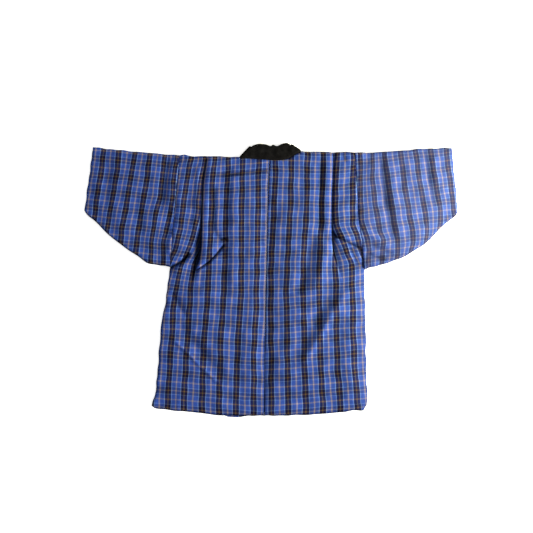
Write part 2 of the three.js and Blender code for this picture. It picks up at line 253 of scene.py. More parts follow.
def closedCloth(name, outer, inner, clothPlace, isCloth, paintedShade):
    # A closed wall between an outer and an inner grid of points, rows by columns by xyz.
    # isCloth marks the cells that are there, and every border between a cell that is there
    # and one that isn't gets a strip from outer to inner. The last argument is the painted shade
    # of the first rows' points: darker in folds, at seams and under edges, paler on ridges.
    rows, columns = outer.shape[:2]
    index = np.arange(rows * columns).reshape(rows, columns)
    a, b, c, d = index[:-1, :-1], index[1:, :-1], index[1:, 1:], index[:-1, 1:]
    under = rows * columns
    faces = [np.stack([a, b, c, d], -1)[isCloth], np.stack([d, c, b, a], -1)[isCloth] + under]
    framed = np.pad(isCloth, 1)
    for start, end, beside in ((a, b, framed[1:-1, :-2]), (b, c, framed[2:, 1:-1]),
                               (c, d, framed[1:-1, 2:]), (d, a, framed[:-2, 1:-1])):
        edge = isCloth & ~beside
        faces.append(np.stack([end, start, start + under, end + under], -1)[edge])
    faces = np.concatenate(faces)
    used, faces = np.unique(faces, return_inverse=True)
    faces = faces.reshape(-1, 4)
    points = np.concatenate([outer.reshape(-1, 3), inner.reshape(-1, 3)])[used] * metre
    places = np.tile(clothPlace.reshape(-1, 2), (2, 1))[used] * metre
    paintedShadeValues = np.zeros(2 * under)
    paintedShadeValues[:paintedShade.size] = np.minimum(paintedShade.ravel(), 1)
    first, second, third = (points[faces[:, k]] for k in range(3))
    if np.sum(first * np.cross(second, third)) < 0:
        faces = faces[:, ::-1]
    return meshObject(name, points, faces, places, paintedShadeValues[used])


def meshObject(name, points, faces, places, paintedShadeValues):
    mesh = bpy.data.meshes.new(name)
    mesh.from_pydata(points, [], faces)
    layer = mesh.uv_layers.new(name="clothPlace")
    layer.data.foreach_set("uv", places[faces.ravel()].astype(np.float32).ravel())
    # The painted shade goes to the material as a point attribute
    mesh.attributes.new("paintedShade", "FLOAT", "POINT").data.foreach_set(
        "value", paintedShadeValues.astype(np.float32))
    mesh.polygons.foreach_set("use_smooth", np.ones(len(faces), bool))
    mesh.update()
    print(f"{name}: {len(points)} points, {len(faces)} faces")
    return newObject(name, mesh)


def backThickness(across, along, small, full, trough):
    # The wall, its swell sin(pi * across) * sqrt(sin(pi * along)) and its small relief, thinned
    # towards the borders, less the troughs
    swell = wadding["swell"] * np.sin(np.pi * across) * np.sqrt(
        np.sin(np.pi * np.clip(along, 0, 1)))
    return np.maximum((wadding["wall"] + swell + small) * full - trough, wadding["thinnest"])


def foldOver(top, bottom):
    # Rows round a folded edge, between the last row of the back and the first of the front:
    # half an ellipse outside and half a circle, the end of the slit, inside. The wall's
    # thickness at each point is kept from the layer that it belongs to.
    slit = wadding["slit"] / 2
    angle = np.radians(wadding["turns"])[:, None]
    share = (np.sin(angle) + 1) / 2
    x, y = (blend(bottom[None, :, k], top[None, :, k], share) for k in (0, 1))
    rise = np.where(angle > 0, top[None, :, 2] - middle, middle - bottom[None, :, 2])
    outer = np.stack([x, y + wadding["foldDepth"] * np.cos(angle),
                      middle + rise * np.sin(angle)], -1)
    inner = np.stack([x, y + slit * np.cos(angle), middle + slit * np.sin(angle) + 0 * x], -1)
    return outer, inner


def foldedCloth(name, back, front, cloth, paintedShade, isFront):
    # The back (x, y, thickness) and the front (x, y, share of the full thickness) as layers
    # of one closed cloth, joined round the top edge. cloth is the back's place on the cloth,
    # across and along, and the front's runs on from it. isFront marks the front's columns.
    x, y, thick = back
    frontX, frontY, full = front
    wall, turns, taken = wadding["wall"], len(wadding["turns"]), wadding["foldCloth"]
    span = np.linspace(*wadding["foldSpan"], turns)
    upper = np.stack([x, y, backUnder + thick], -1)
    lower = np.stack([frontX, frontY, wall * (1 - full)], -1)
    foldOuter, foldInner = foldOver(upper[-1], lower[0])
    outer = np.concatenate([upper, foldOuter, lower])
    inner = np.concatenate([np.stack([x, y, np.full_like(x, backUnder)], -1), foldInner,
                            np.stack([frontX, frontY, np.full_like(frontX, wall)], -1)])
    across, along = cloth
    overFold = blend(along[-1], along[-1] - taken, span[:, None])
    place = np.stack([
        np.concatenate([across, np.repeat(across[-1:], turns + len(frontX), 0)]),
        np.concatenate([along, overFold, along[-1] - taken - (frontY[0] - frontY)])], -1)
    isCloth = np.ones((len(outer) - 1, x.shape[1] - 1), bool)
    isCloth[len(x) - 1:] = isFront
    return closedCloth(name, outer, inner, place, isCloth, paintedShade)


# The wadded cloth, the same in every piece

wadding = {
    "wall": 7,                 # outer cloth, wadding and lining of one layer
    "slit": 0.6,               # between the back and the front
    "seamGap": 0.3,            # between two pieces that are sewn together
    "swell": 2.5,              # how far the middle of a piece rises
    "thinnest": 1.6,
    "foldDepth": 9,            # from a folded top edge to the end of the slit inside
    "foldCloth": 24,           # the cloth that such an edge takes up,
    "foldSpan": (0.1, 0.9),    # and where its first and last rows lie on that cloth
    "sideEdge": {"over": 12, "share": 0.31},
    "seamEdge": {"over": 8, "share": 0.5},
    "armholeEdge": {"over": 7, "share": 0.74},
    "hemEdge": {"over": 11, "share": 0.4},
    "turns": np.linspace(78, -78, 11),    # degrees, of the rows round a folded edge
    # painted shade of a crease counts less, in proportion, the wider it is than this
    "sharp": 11,               # a crease wider than this is shaped by the light alone
    "seamPucker": {"height": 0.55, "pitch": 21, "reach": 16},
    "edgePucker": {"height": 0.9, "pitch": 27, "reach": 26},
}
middle = wadding["wall"] + wadding["slit"] / 2
backUnder = wadding["wall"] + wadding["slit"]

centreSeam = {
    "y": [-446, -250, -50, 32, 110, 236, 360, 420],
    "x": [-23.5, -22, -19.5, -17, -15.5, -12.5, -8, -5],
}
armholes = {
    "left": {"y": [42, 120, 240, 404.5, 430], "x": [-329, -323, -312, -298, -296]},
    "right": {"y": [32, 113, 188, 292, 414, 430], "x": [303, 296, 286.5, 279, 272.5, 271.5]},
}

leftHalf = {
    "name": "bodyLeft", "node": "body_left", "side": "left", "outwards": -1,
    "armpit": 42,
    "sideSeam": {
        "y": [42, 0, -60, -147, -260, -374, -396, -410],
        "x": [-329, -335, -342, -358, -367, -378, -387, -388],
    },
    "neckShare": 0.326,
    "shoulder": {
        "share": [0.326, 0.7, 0.83, 0.9, 0.95, 1],
        "y": [399.8, 402.3, 402.3, 404, 407.5, 405],
    },
    "neck": {
        "share": [0, 0.085, 0.15, 0.22, 0.27, 0.326],
        "y": [389.9, 391.8, 393.1, 394.1, 394.8, 396.5],
    },
    "hem": {
        "share": [0, 0.38, 0.62, 0.87, 0.965, 1],
        "y": [-442.5, -440.5, -431, -422.5, -417.5, -409],
    },
    "frontEdge": {"y": [-446, 400], "x": [-105, -101.2]},
    "frontHem": {
        "share": [0, 0.12, 0.22, 0.87, 1], "y": [-447.5, -446, -434.5, -418, -409],
    },
    "columns": 118,
    # Where the dark stripes of the cloth run, row by row: the x of each, its place across
    # the cloth, and what of the cloth is hidden at the fold
    "stripes": {
        "y": [396, 302, 204, 107, 42, -75, -220, -394],
        "x": [
            [-40, -42, -43, -45, -46.5, -48.5, -55.5, -57],
            [-93, -95, -96, -96, -96.5, -99.5, -109, -114.5],
            [-140, -144, -149, -150, -151.5, -155.5, -164, -168.5],
            [-181.5, -191, -194, -197, -202, -208, -219.5, -224.5],
            [-208.7, -221.3, -225.2, -227.8, -249, -261.5, -272, -282.5],
            [-210.7, -223.3, -227.2, -231.8, -251, -263.5, -274, -284.5],
            [-213.5, -231, -239, -266.5, -292, -315.5, -325, -336.5],
            [-258.5, -276, -289, -308, -336, -368, -378.5, -391.5],
        ],
        "cloth": [
            35, 91, 147, 203,
            [233, 235, 237, 237, 251, 256, 257, 257],
            [311, 304, 299, 273, 253, 258, 259, 259],
            315, 371,
        ],
    },
    "firstStripe": 35, "rowPhase": 52.4, "clothPerHeight": 1.0156,
    # How far the checks' rows lie lower than even rows would, and how they rise outwards
    "rows": {
        "y": [398, 318, 204, 58, -72, -218, -342, -439],
        "lower": [-8.5, -7.5, -4, -12, -6.7, 4, 10.5, 15],
        "rise": [-0.08, -0.072, -0.01, -0.036, 0.024, 0.07, 0.073, 0.08],
    },
    "rowTilt": {"y": [400, 250, 120, 20, -80], "tilt": [0.03, 0.08, 0.2, 0.18, 0]},
    "lap": {
        "y": [410, 302, 204, 155, 107, 68, 32, -17, -50],
        "x": [-206, -221.3, -225.2, -226.5, -227.8, -233, -247, -262, -268],
        "deep": [5.5, 6, 6.6, 7, 7.2, 6.6, 4, 1.5, 0],
        "dive": [7, 7, 8, 11, 22, 25, 20, 18, 18],
        "lip": 2.4, "roll": 1.8,
    },
    "creases": [
        (4.4, 3.4, [(-152, 116), (-183, 77.5), (-205, 56), (-222, 45), (-246, 28)], 0.08),
        (-1.8, 10, [(-178, 116), (-215, 78)], 0.4),
        (1.8, 8, [(-188, 301), (-188, 162), (-158, 118)]),
        (5, 6, [(-331, 38), (-310, 48), (-287, 62), (-265, 88)]),
        (-1.5, 12, [(-318, 30), (-270, 52)], 0.4),
        (1.4, 9, [(-236, 170), (-243, 90), (-255, -30)]),
        (2.6, 4, [(-168, 130), (-152, 134), (-141, 127)], 0.3),
        (2.8, 18, [(-298, -141), (-216, -246), (-138, -334)]),
        (-2.1, 6, [(-319, -192), (-264, -244), (-231, -280), (-198, -309), (-156, -347)]),
        (2.2, 11, [(-325, -40), (-275, -120)]),
        (2.2, 18, [(-150, 380), (-150, 200), (-152, 60), (-150, -60)]),
        (-1.8, 16, [(-118, 380), (-118, 180), (-120, -60)]),
        (-1.6, 20, [(-52, 330), (-56, 0), (-62, -390)]),
        (1.2, 26, [(-6, 350), (-12, 236), (-17, 32), (-22, -410)]),
        (-2, 16, [(-292, 330), (-296, 210), (-304, 110)]),
        (-1.8, 8, [(-237, 370), (-240, 240), (-248, 160)]),
        (1.6, 18, [(-100, -150), (-110, -260), (-112, -330)]),
        (2.4, 6, [(-140, 341), (-80, 350), (-14, 356)]),
        (1.8, 7, [(-192, 342), (-100, 344)]),
        (1.6, 7, [(-150, 292), (-100, 290)]),
    ],
    "waves": {"seed": 11, "count": 26, "lengths": (35, 130), "height": 0.8},
    # painted shade lines along the free side, the hem and the centre seam: how dark each is
    "rim": {"side": 0.5, "hem": 0.8, "seam": 0.42},
    "flat": (0.40, 1.72), "area": 0.56,
}
rightHalf = {
    "name": "bodyRight", "node": "body_right", "side": "right", "outwards": 1,
    "armpit": 32,
    "sideSeam": {
        "y": [32, -69, -179, -320, -384, -407],
        "x": [303, 305, 308, 310, 313, 311.5],
    },
    "neckShare": 0.364,
    "shoulder": {
        "share": [0.364, 0.5, 0.6, 0.68, 0.74, 0.8, 0.88, 0.94, 1],
        "y": [418.8, 417, 416.5, 416.8, 413.6, 416, 417.4, 415, 414],
    },
    "neck": {
        "share": [0, 0.1, 0.17, 0.215, 0.256, 0.285, 0.32, 0.364],
        "y": [389.5, 389.3, 390.6, 393.2, 399.1, 403.7, 410, 413.5],
    },
    "hem": {
        "share": [0, 0.25, 0.5, 0.75, 0.88, 0.96, 1],
        "y": [-442.5, -441, -437.5, -430.5, -425, -425.5, -408],
    },
    "frontEdge": {"y": [-446, 420], "x": [1.5, 95.2]},
    "frontHem": {"share": [0, 0.7, 0.9, 1], "y": [-432, -424, -417, -407]},
    "columns": 112,
    "stripes": {
        "y": [396, 321, 256, 188, 139, 90, 45, -43, -120, -236, -407],
        "x": [
            [14.5, 13, 10, 6.8, 4.2, 2, 0, -1.3, -0.8, 0, 0.8],
            [65.5, 64, 62.7, 59, 56.6, 54, 51.4, 48.8, 50.3, 51.5, 54.5],
            [119, 116.4, 115.7, 113, 110, 106.6, 104.5, 103, 105, 107, 112.5],
            [169, 166.7, 164.5, 163.5, 158, 157, 156.5, 156, 157.5, 159, 168],
            [201.8, 199.2, 197, 196.6, 197.6, 202, 207, 209, 210.5, 212, 224],
            [203.8, 201.2, 199, 198.6, 199.6, 205, 209, 211, 212.5, 214, 226],
            [214.4, 208.7, 208, 208.6, 229, 245.5, 262, 263.5, 265.5, 268, 281.5],
            [267.2, 265.4, 263.8, 265.2, 279.8, 293, 312.5, 317, 319.5, 323, 337.5],
        ],
        "cloth": [
            24, 80, 136, 192,
            [227, 227, 228, 229, 236, 242, 247, 247, 247, 247, 247],
            [292, 294, 294, 293, 276, 256, 249, 249, 249, 249, 249],
            304, 360,
        ],
    },
    "firstStripe": 24, "rowPhase": 40.5, "clothPerHeight": 0.993,
    "rows": {
        "y": [398, 318, 204, 56, -90, -236, -348, -439],
        "lower": [-4.2, -4.8, -7.8, -10.9, -3, 0, 4, 7],
        "rise": [-0.029, -0.032, -0.022, 0.006, 0.073, 0.076, 0.073, 0.08],
    },
    "rowTilt": {"y": [410, 330, 250, 120, 20, -80], "tilt": [0.12, 0.14, 0.09, 0.2, 0.16, 0]},
    "lap": {
        "y": [425, 321, 256, 188, 155, 139, 110, 84, 58, 35, -10],
        "x": [202.5, 199.2, 197, 196.6, 197.3, 197.6, 199.2, 202.5, 210, 219, 234],
        "deep": [4.5, 5, 5.5, 6, 6.6, 6.8, 6.4, 5.6, 4, 2.4, 0],
        "dive": [6, 6, 6, 7, 9, 14, 22, 24, 22, 18, 16],
        "lip": 2.4, "roll": 1,
    },
    "creases": [
        (3.3, 5, [(197, 158), (209, 142), (232, 131), (249, 122), (276, 109), (290, 100),
            (296, 72), (299, 36)], 0.06),
        (-1.6, 10, [(215, 152), (262, 130)], 0.4),
        (2, 7, [(254, 107), (276, 62), (290, 40)]),
        (-1.2, 10, [(240, 105), (262, 55)], 0.4),
        (2.8, 10, [(162, 412), (160, 300), (157, 150)]),
        (-0.7, 10, [(182, 410), (178, 300), (176, 160)]),
        (3.4, 20, [(141, 150), (118, 60), (92, -50)]),
        (-2.8, 16, [(186, 130), (165, 50), (141, -50)]),
        (-3.3, 15, [(245, -30), (180, -140), (100, -275)]),
        (2.8, 26, [(212, -15), (150, -125), (70, -260)]),
        (-2.9, 28, [(256, 40), (257, -180), (264, -400)]),
        (1.6, 10, [(175, -147), (245, -155), (308, -160)]),
        (1, 10, [(62, -30), (94, -38)]),
        (1.4, 14, [(4, 340), (-3, 200), (-9, 32), (-12, -200), (-14, -400)]),
        (1.8, 46, [(6, 300), (0, 100), (-6, -100), (-12, -400)]),
        (2, 6, [(232, 416), (240, 385)]),
        (-1.4, 7, [(214, 412), (219, 390)]),
    ],
    "waves": {"seed": 23, "count": 26, "lengths": (35, 130), "height": 0.8},
    # painted shade lines along the free side, the hem and the centre seam: how dark each is
    "rim": {"side": 0.3, "hem": 0.6, "seam": 0.5},
    "flat": (0.38, 1.72), "area": 0.56,
}


narrowestStripe = 0.5


def stripePlace(x, y, stripes, outwards, slope):
    # How far across the cloth a point is: straight lines between the stripes' known places,
    # each stripe a smooth curve over y, and an even slope beyond the first and last
    away = x * outwards
    where = [smoothCurve(y, stripes["y"], row) * outwards for row in stripes["x"]]
    cloth = [smoothCurve(y, stripes["y"], row) if isinstance(row, list) else row
             for row in stripes["cloth"]]
    place = cloth[0] + slope * (np.minimum(away - where[0], 0) + np.maximum(away - where[-1], 0))
    for k in range(len(where) - 1):
        width = np.maximum(where[k + 1] - where[k], narrowestStripe)
        place = place + np.clip((away - where[k]) / width, 0, 1) * (cloth[k + 1] - cloth[k])
    return place


# The two halves of the body

bodyCloth = {
    "rows": 268, "frontRows": 60,
    # Where columns and rows stand close: at what share, over what reach, how strongly
    "columnCrowds": [(0, 0.02, 4), (1, 0.02, 4), (0.71, 0.07, 1.2)],
    "rowCrowds": [(0, 0.01, 5), (1, 0.01, 4)],
    "frontCrowds": [(0, 0.02, 4), (1, 0.01, 3)],
    "shoulderY": 398,
    "clothPerWidth": 1.05,         # millimetres of cloth for each one seen
    "shoulderRun": 310, "hemRun": 330,   # lengths that the edges' ripples are counted on
    "sideCalm": 40, "endCalm": 0.1,      # where a ripple dies away: millimetres, share
    "hemRipple": 0.7,
    "sidePuckers": 31,             # how far the side's gathers are shifted along it
}
outOfReach = 1e3


def bodyHalf(half):
    # Back point: x = blend(centre seam, side, s), y = blend(hem, top, t). Front point: the
    # same between the front edge and the side, with the share counted from the neck's end.
    outwards, w, body = half["outwards"], wadding, bodyCloth
    gap = w["seamGap"] / 2 * outwards
    neckShare = half["neckShare"]
    s = crowdedShares(half["columns"], body["columnCrowds"])
    neckColumn = np.argmin(abs(s - neckShare))
    s[neckColumn] = neckShare

    def centreX(y):
        return xAt(centreSeam, y) + gap

    def sideX(y):
        free = np.clip((half["armpit"] - y) / body["sideCalm"], 0, 1)
        return np.where(y > half["armpit"], xAt(armholes[half["side"]], y),
                        xAt(half["sideSeam"], y) + ripple(y) * free) - gap

    def topY(share):
        free = np.clip(np.minimum(share - neckShare, 1 - share) / body["endCalm"], 0, 1)
        return np.where(share < neckShare, yAt(half["neck"], share),
                        yAt(half["shoulder"], share)
                        + ripple(share * body["shoulderRun"]) * free - w["foldDepth"])

    def sideFullness(distance, y, upperEdge):
        # By the upper edge's measures above the armpit, by the side's below it
        return np.where(y > half["armpit"], fullness(distance, upperEdge),
                        fullness(distance, w["sideEdge"]))

    def frontX(y, share):
        return blend(xAt(half["frontEdge"], y), sideX(y), share)

    # Back
    S, T = np.meshgrid(s, crowdedShares(body["rows"], body["rowCrowds"]))
    hemY = yAt(half["hem"], S) + ripple(S * body["hemRun"]) * body["hemRipple"]
    y = blend(hemY, topY(S), T)
    x = blend(centreX(y), sideX(y), S)
    toCentre, toSide, toHem = abs(x - centreX(y)), abs(sideX(y) - x), y - hemY
    toNeck = np.where(S < neckShare, topY(S) - y, outOfReach)
    toShoulder = np.where(S < neckShare, outOfReach, topY(S) - y + w["foldDepth"])
    full = np.minimum.reduce([
        fullness(toCentre, w["seamEdge"]), fullness(toHem, w["hemEdge"]),
        sideFullness(toSide, y, w["armholeEdge"]), fullness(toNeck, w["seamEdge"])])
    small = (puckers(toCentre, y, w["seamPucker"]) + puckers(toNeck, x, w["seamPucker"])
             + puckers(toSide, y + body["sidePuckers"], w["edgePucker"])
             + puckers(toHem, x, w["edgePucker"]) + puckers(toShoulder, x, w["edgePucker"]))
    lapped = lapDepth(x, y, half["lap"], outwards)
    trough = creaseDepth(x, y, half["creases"]) + lapped
    # Painted shade: narrow creases, the fold, thin borders, the hem, the side below the armpit
    # and the centre seam darken the colour, and ridges lighten it
    shaded = creaseDepth(x, y, half["creases"], w["sharp"]) + lapped
    thick = backThickness(S, T, unevenness(x, y, half["waves"]) + small, full, trough)
    paintedShade = paintedShadeShare(shaded, full) + rimShade(toHem, half["rim"]["hem"])
    paintedShade += rimShade(toSide, half["rim"]["side"]) * (y < half["armpit"])
    paintedShade += rimShade(x - centreX(y), half["rim"]["seam"])
    back = x, y, thick
    rows = half["rows"]
    rise = smoothCurve(y, rows["y"], rows["rise"]) * toCentre
    lower = smoothCurve(y, rows["y"], rows["lower"])
    pastFold = np.maximum((x - xAt(half["lap"], y)) * outwards, 0)
    tilt = smoothCurve(y, half["rowTilt"]["y"], half["rowTilt"]["tilt"]) * pastFold
    along = (body["shoulderY"] - y) * half["clothPerHeight"] + rise - lower + tilt
    across = stripePlace(x, y, half["stripes"], outwards, body["clothPerWidth"])

    # Front, face down on the floor, from the shoulder to its hem
    S, T = np.meshgrid(s, crowdedShares(body["frontRows"], body["frontCrowds"])[::-1])
    share = np.maximum((S - neckShare) / (1 - neckShare), 0)
    hemY = yAt(half["frontHem"], share)
    y = blend(hemY, topY(np.maximum(S, neckShare)), T)
    x = frontX(y, share)
    full = np.minimum.reduce([
        fullness(abs(x - frontX(y, 0)), w["seamEdge"]), fullness(y - hemY, w["hemEdge"]),
        sideFullness(abs(sideX(y) - x), y, w["seamEdge"])])
    return foldedCloth(half["name"], back, (x, y, full),
                       (across - half["firstStripe"], along - half["rowPhase"]), paintedShade,
                       np.arange(len(s) - 1) >= neckColumn)


# Sleeves

leftSleeve = {
    "name": "sleeveLeft", "node": "sleeve_left", "side": "left", "outwards": -1,
    "top": {
        "share": [0, 0.34, 0.7, 1], "x": [-298, -394, -496, -579],
        "y": [405, 413, 422.5, 432],
    },
    "under": {
        "share": [0, 0.083, 0.25, 0.426, 0.605, 0.76, 0.89, 0.96, 1],
        "x": [-329, -352, -398, -447, -497, -540, -576.5, -598, -607.5],
        "y": [42, 46, 53.5, 86, 120.5, 156.5, 195, 210.5, 225],
    },
    "stripes": {
        "y": [430, 400, 340, 280, 215, 160, 115, 60],
        "x": [
            [-300, -305, -317.5, -320.5, -330, -342, -352, -352],
            [-340, -345, -352, -358.5, -373, -382, -388, -389],
            [-389.5, -394.5, -403, -411, -422, -431, -438, -443.5],
            [-439, -444, -454, -464, -476.5, -485, -488, -491.5],
            [-492, -496, -502.5, -512.5, -524.5, -533.5, -541, -548],
            [-542.5, -546.5, -554, -564, -572, -578, -584, -590],
        ],
        "cloth": [0, 56, 112, 168, 224, 280],
    },
    "rows": {"x": -482, "y": 333, "slope": 0.085},
    "creases": [
        (3, 15, [(-338, 400), (-350, 300), (-362, 220)]),
        (-1.5, 12, [(-318, 390), (-328, 260)]),
        (2.9, 25, [(-404, 150), (-380, 95), (-356, 35)], 0.4),
        (1.4, 9, [(-331, 250), (-340, 150), (-352, 62)]),
        (1.6, 18, [(-430, 300), (-424, 190), (-416, 90)]),
        (1.4, 18, [(-520, 400), (-534, 320), (-545, 240)]),
        (-1.2, 16, [(-372, 240), (-378, 140)], 0.4),
    ],
    "waves": {"seed": 37, "count": 22, "lengths": (35, 120), "height": 0.8},
    # painted shade lines along the under edge and the cuff: how dark each is
    "rim": {"under": 0.85, "cuff": 0.4},
    "flat": (0.30, 0.72), "area": 0.19,
}
rightSleeve = {
    "name": "sleeveRight", "node": "sleeve_right", "side": "right", "outwards": 1,
    "top": {
        "share": [0, 0.2, 0.46, 0.75, 1], "x": [272.5, 336, 418.5, 508, 587.5],
        "y": [414, 415, 420.5, 427, 429.5],
    },
    "under": {
        "share": [0, 0.061, 0.146, 0.274, 0.381, 0.503, 0.626, 0.723, 0.837, 0.919, 0.98, 1],
        "x": [303, 321, 347, 386, 418.5, 456, 493.5, 523, 557.5, 582.5, 601, 607.5],
        "y": [32, 39.5, 45.5, 57.5, 67.5, 89.5, 111, 137.5, 174.5, 195, 208.5, 224],
    },
    "stripes": {
        "y": [430, 405, 335, 265, 200, 160, 125, 92, 55],
        "x": [
            [291.2, 291.2, 291.2, 291.2, 291.9, 303.4, 314.4, 317.4, 317.4],
            [329.4, 329.4, 327.9, 333.4, 345.4, 351.9, 363.4, 361.1, 358.2],
            [364.9, 367.7, 376.4, 387.9, 398.2, 404.9, 410.9, 411.9, 405.4],
            [417.4, 420.4, 430, 440, 449.4, 457.4, 460.1, 454.4, 447.4],
            [466.9, 470.4, 479.4, 491.4, 502.9, 506.4, 503.8, 497.4, 490.4],
            [516.4, 520, 531.4, 542.9, 550.4, 545.4, 539.4, 532.4, 526.4],
            [566.9, 569.6, 578, 587.7, 596, 599.4, 602.4, 605.4, 608.4],
        ],
        "cloth": [0, 56, 112, 168, 224, 280, 336],
    },
    "rows": {"x": 451, "y": 401, "slope": 0.11},
    "creases": [
        (3.2, 13, [(358, 410), (372, 260), (402, 120)]),
        (-1.2, 18, [(386, 400), (400, 260), (430, 130)]),
        (2.8, 12, [(500, 424), (516, 320), (530, 240)]),
        (-1.4, 12, [(528, 400), (544, 300)]),
        (-2.6, 11, [(296, 168), (340, 136), (385, 114)], 0.3),
        (2.4, 9, [(312, 122), (350, 102), (398, 84)], 0.3),
        (2.4, 7, [(305, 90), (335, 76), (372, 68)], 0.3),
        (1.4, 12, [(330, 130), (343, 95), (355, 60)]),
        (-1.4, 12, [(330, 135), (352, 75)], 0.4),
    ],
    "waves": {"seed": 53, "count": 22, "lengths": (35, 120), "height": 0.8},
    # painted shade lines along the under edge and the cuff: how dark each is
    "rim": {"under": 0.4, "cuff": 0.0},
    "flat": (0.30, 0.72), "area": 0.19,
}
sleeveCloth = {
    "columns": 92, "rows": 112, "frontRows": 40,
    "columnCrowds": [(0, 0.03, 3), (1, 0.03, 4)],
    "rowCrowds": [(0, 0.025, 4), (1, 0.02, 3)],
    "frontCrowds": [(0, 0.03, 4), (1, 0.02, 3)],
    "clothPerWidth": 1.1, "clothPerHeight": 1.045,
    "underRun": 290, "topRun": 310, "topShift": 90,     # what the edges' ripples count on
    "endCalm": 0.1,
    "cuffPuckers": 13, "topPuckers": 40,
    "armholeBend": 3,              # how fast the columns straighten away from the armhole
}


def sleeve(shape):
    # A point: y = blend(under edge, top edge, t), on the straight column between the under
    # and top points of its share s. The first column follows the armhole's curve.
    outwards, w, cloth = shape["outwards"], wadding, sleeveCloth
    gap, calm = w["seamGap"] / 2 * outwards, cloth["endCalm"]
    s = crowdedShares(cloth["columns"], cloth["columnCrowds"])
    top, under = shape["top"], shape["under"]

    def lowY(share):
        free = np.clip(np.minimum(share, 1 - share) / calm, 0, 1)
        return yAt(under, share) + ripple(share * cloth["underRun"]) * free

    def highY(share):
        waves = ripple(share * cloth["topRun"] + cloth["topShift"])
        return yAt(top, share) + waves * np.clip(share / calm, 0, 1)

    def columnX(share, y):
        lowX = smoothCurve(share, under["share"], under["x"])
        highX = smoothCurve(share, top["share"], top["x"])
        edge = ripple(y) * outwards * np.clip((share - 1 + calm) / calm, 0, 1)
        return lowX + (highX - lowX) * (y - lowY(share)) / (highY(share) - lowY(share)) + edge

    def sleeveX(share, y):
        bent = xAt(armholes[shape["side"]], y) + gap - columnX(0 * y, y)
        return columnX(share, y) + bent * (1 - share) ** cloth["armholeBend"]

    def layer(t):
        S, T = np.meshgrid(s, t)
        y = blend(lowY(S), highY(S) - w["foldDepth"], T)
        x = sleeveX(S, y)
        toSeam, toCuff = abs(x - sleeveX(0 * y, y)), abs(sleeveX(0 * y + 1, y) - x)
        full = np.minimum.reduce([fullness(toSeam, w["armholeEdge"]),
                                  fullness(toCuff, w["hemEdge"]),
                                  fullness(y - lowY(S), w["sideEdge"])])
        return S, T, x, y, full, toSeam, toCuff

    S, T, x, y, full, toSeam, toCuff = layer(crowdedShares(cloth["rows"], cloth["rowCrowds"]))
    small = (puckers(toSeam, y, w["seamPucker"])
             + puckers(toCuff, y + cloth["cuffPuckers"], w["edgePucker"])
             + puckers(y - lowY(S), x, w["edgePucker"])
             + puckers(highY(S) - y, x + cloth["topPuckers"], w["edgePucker"]))
    thick = backThickness(S, T, unevenness(x, y, shape["waves"]) + small, full,
                          creaseDepth(x, y, shape["creases"]))
    # Painted shade: narrow creases, thin borders, the under edge and the cuff darken the colour,
    # and ridges lighten it
    shaded = creaseDepth(x, y, shape["creases"], w["sharp"])
    paintedShade = paintedShadeShare(shaded, full) + rimShade(y - lowY(S), shape["rim"]["under"])
    paintedShade += rimShade(toCuff, shape["rim"]["cuff"])
    back = x, y, thick
    rows = shape["rows"]
    line = rows["y"] + rows["slope"] * (x - rows["x"]) * outwards
    along = (line - y) * cloth["clothPerHeight"]
    across = stripePlace(x, y, shape["stripes"], outwards, cloth["clothPerWidth"])
    front = layer(crowdedShares(cloth["frontRows"], cloth["frontCrowds"])[::-1])[2:5]
    return foldedCloth(shape["name"], back, front, (across, along), paintedShade, True)


# The collar band, from the left front hem round the neck to the right front hem. It lies face
# down along each front edge, folds over at the neck's two ends, and lies face up between them.

collarBand = {
    "name": "collarBand", "node": "collar",
    "leftFront": {
        "seamY": [-447, -434, -200, 80, 290, 350, 382],
        "freeX": [-54, -54, -52, -50.5, -50, -56, -63],
        "freeY": [-439, -427, -200, 80, 285, 364, 412],
    },
    "leftFold": {"seam": (-101, 393.2), "free": (-64.5, 432)},
    "neck": {
        "seamX": [-91, -70, -50, -30, -6, 8, 25, 42, 55, 66, 75, 85],
        "seamY": [394.6, 393.8, 392.8, 391.5, 389.5, 389.1, 389.1, 390.4, 393.4, 399.2, 404, 411],
        "freeX": [-61.5, -53, -36, -18, -2, 6, 18, 31, 44, 51, 57, 61],
        "freeY": [436, 439.4, 442.8, 440.5, 435.4, 439.9, 435.4, 440.6, 445, 445.4, 443, 440.5],
    },
    "rightFold": {"seam": (94.6, 415.5), "free": (61.5, 437.6)},
    "rightFront": {
        "seamY": [402, 365, 200, -50, -290, -430],
        "freeX": [53, 38, 19.5, -7, -33, -47.5],
        "freeY": [420, 370, 200, -50, -290, -430],
    },
    "round": {"over": 9, "share": 0.45},
    "columns": 26, "columnCrowds": [(0, 0.1, 3), (1, 0.1, 3)],
    "frontSections": 110, "neckSections": 60, "foldSections": 15,
    "faceDown": -90, "faceUp": 90, "wavesFrom": 60,      # degrees
    "waves": {"seed": 71, "count": 12, "lengths": (12, 50), "height": 0.8},
    "flat": (0.055, 2.0), "area": 0.1,
}


def sectionRun(count, keys, *values):
    # Sections at even steps over a table's key column, each value column a smooth curve
    place = np.linspace(0, 1, count)
    known = np.linspace(0, 1, len(keys))
    return [smoothCurve(place, known, keys)] + [smoothCurve(place, known, v) for v in values]


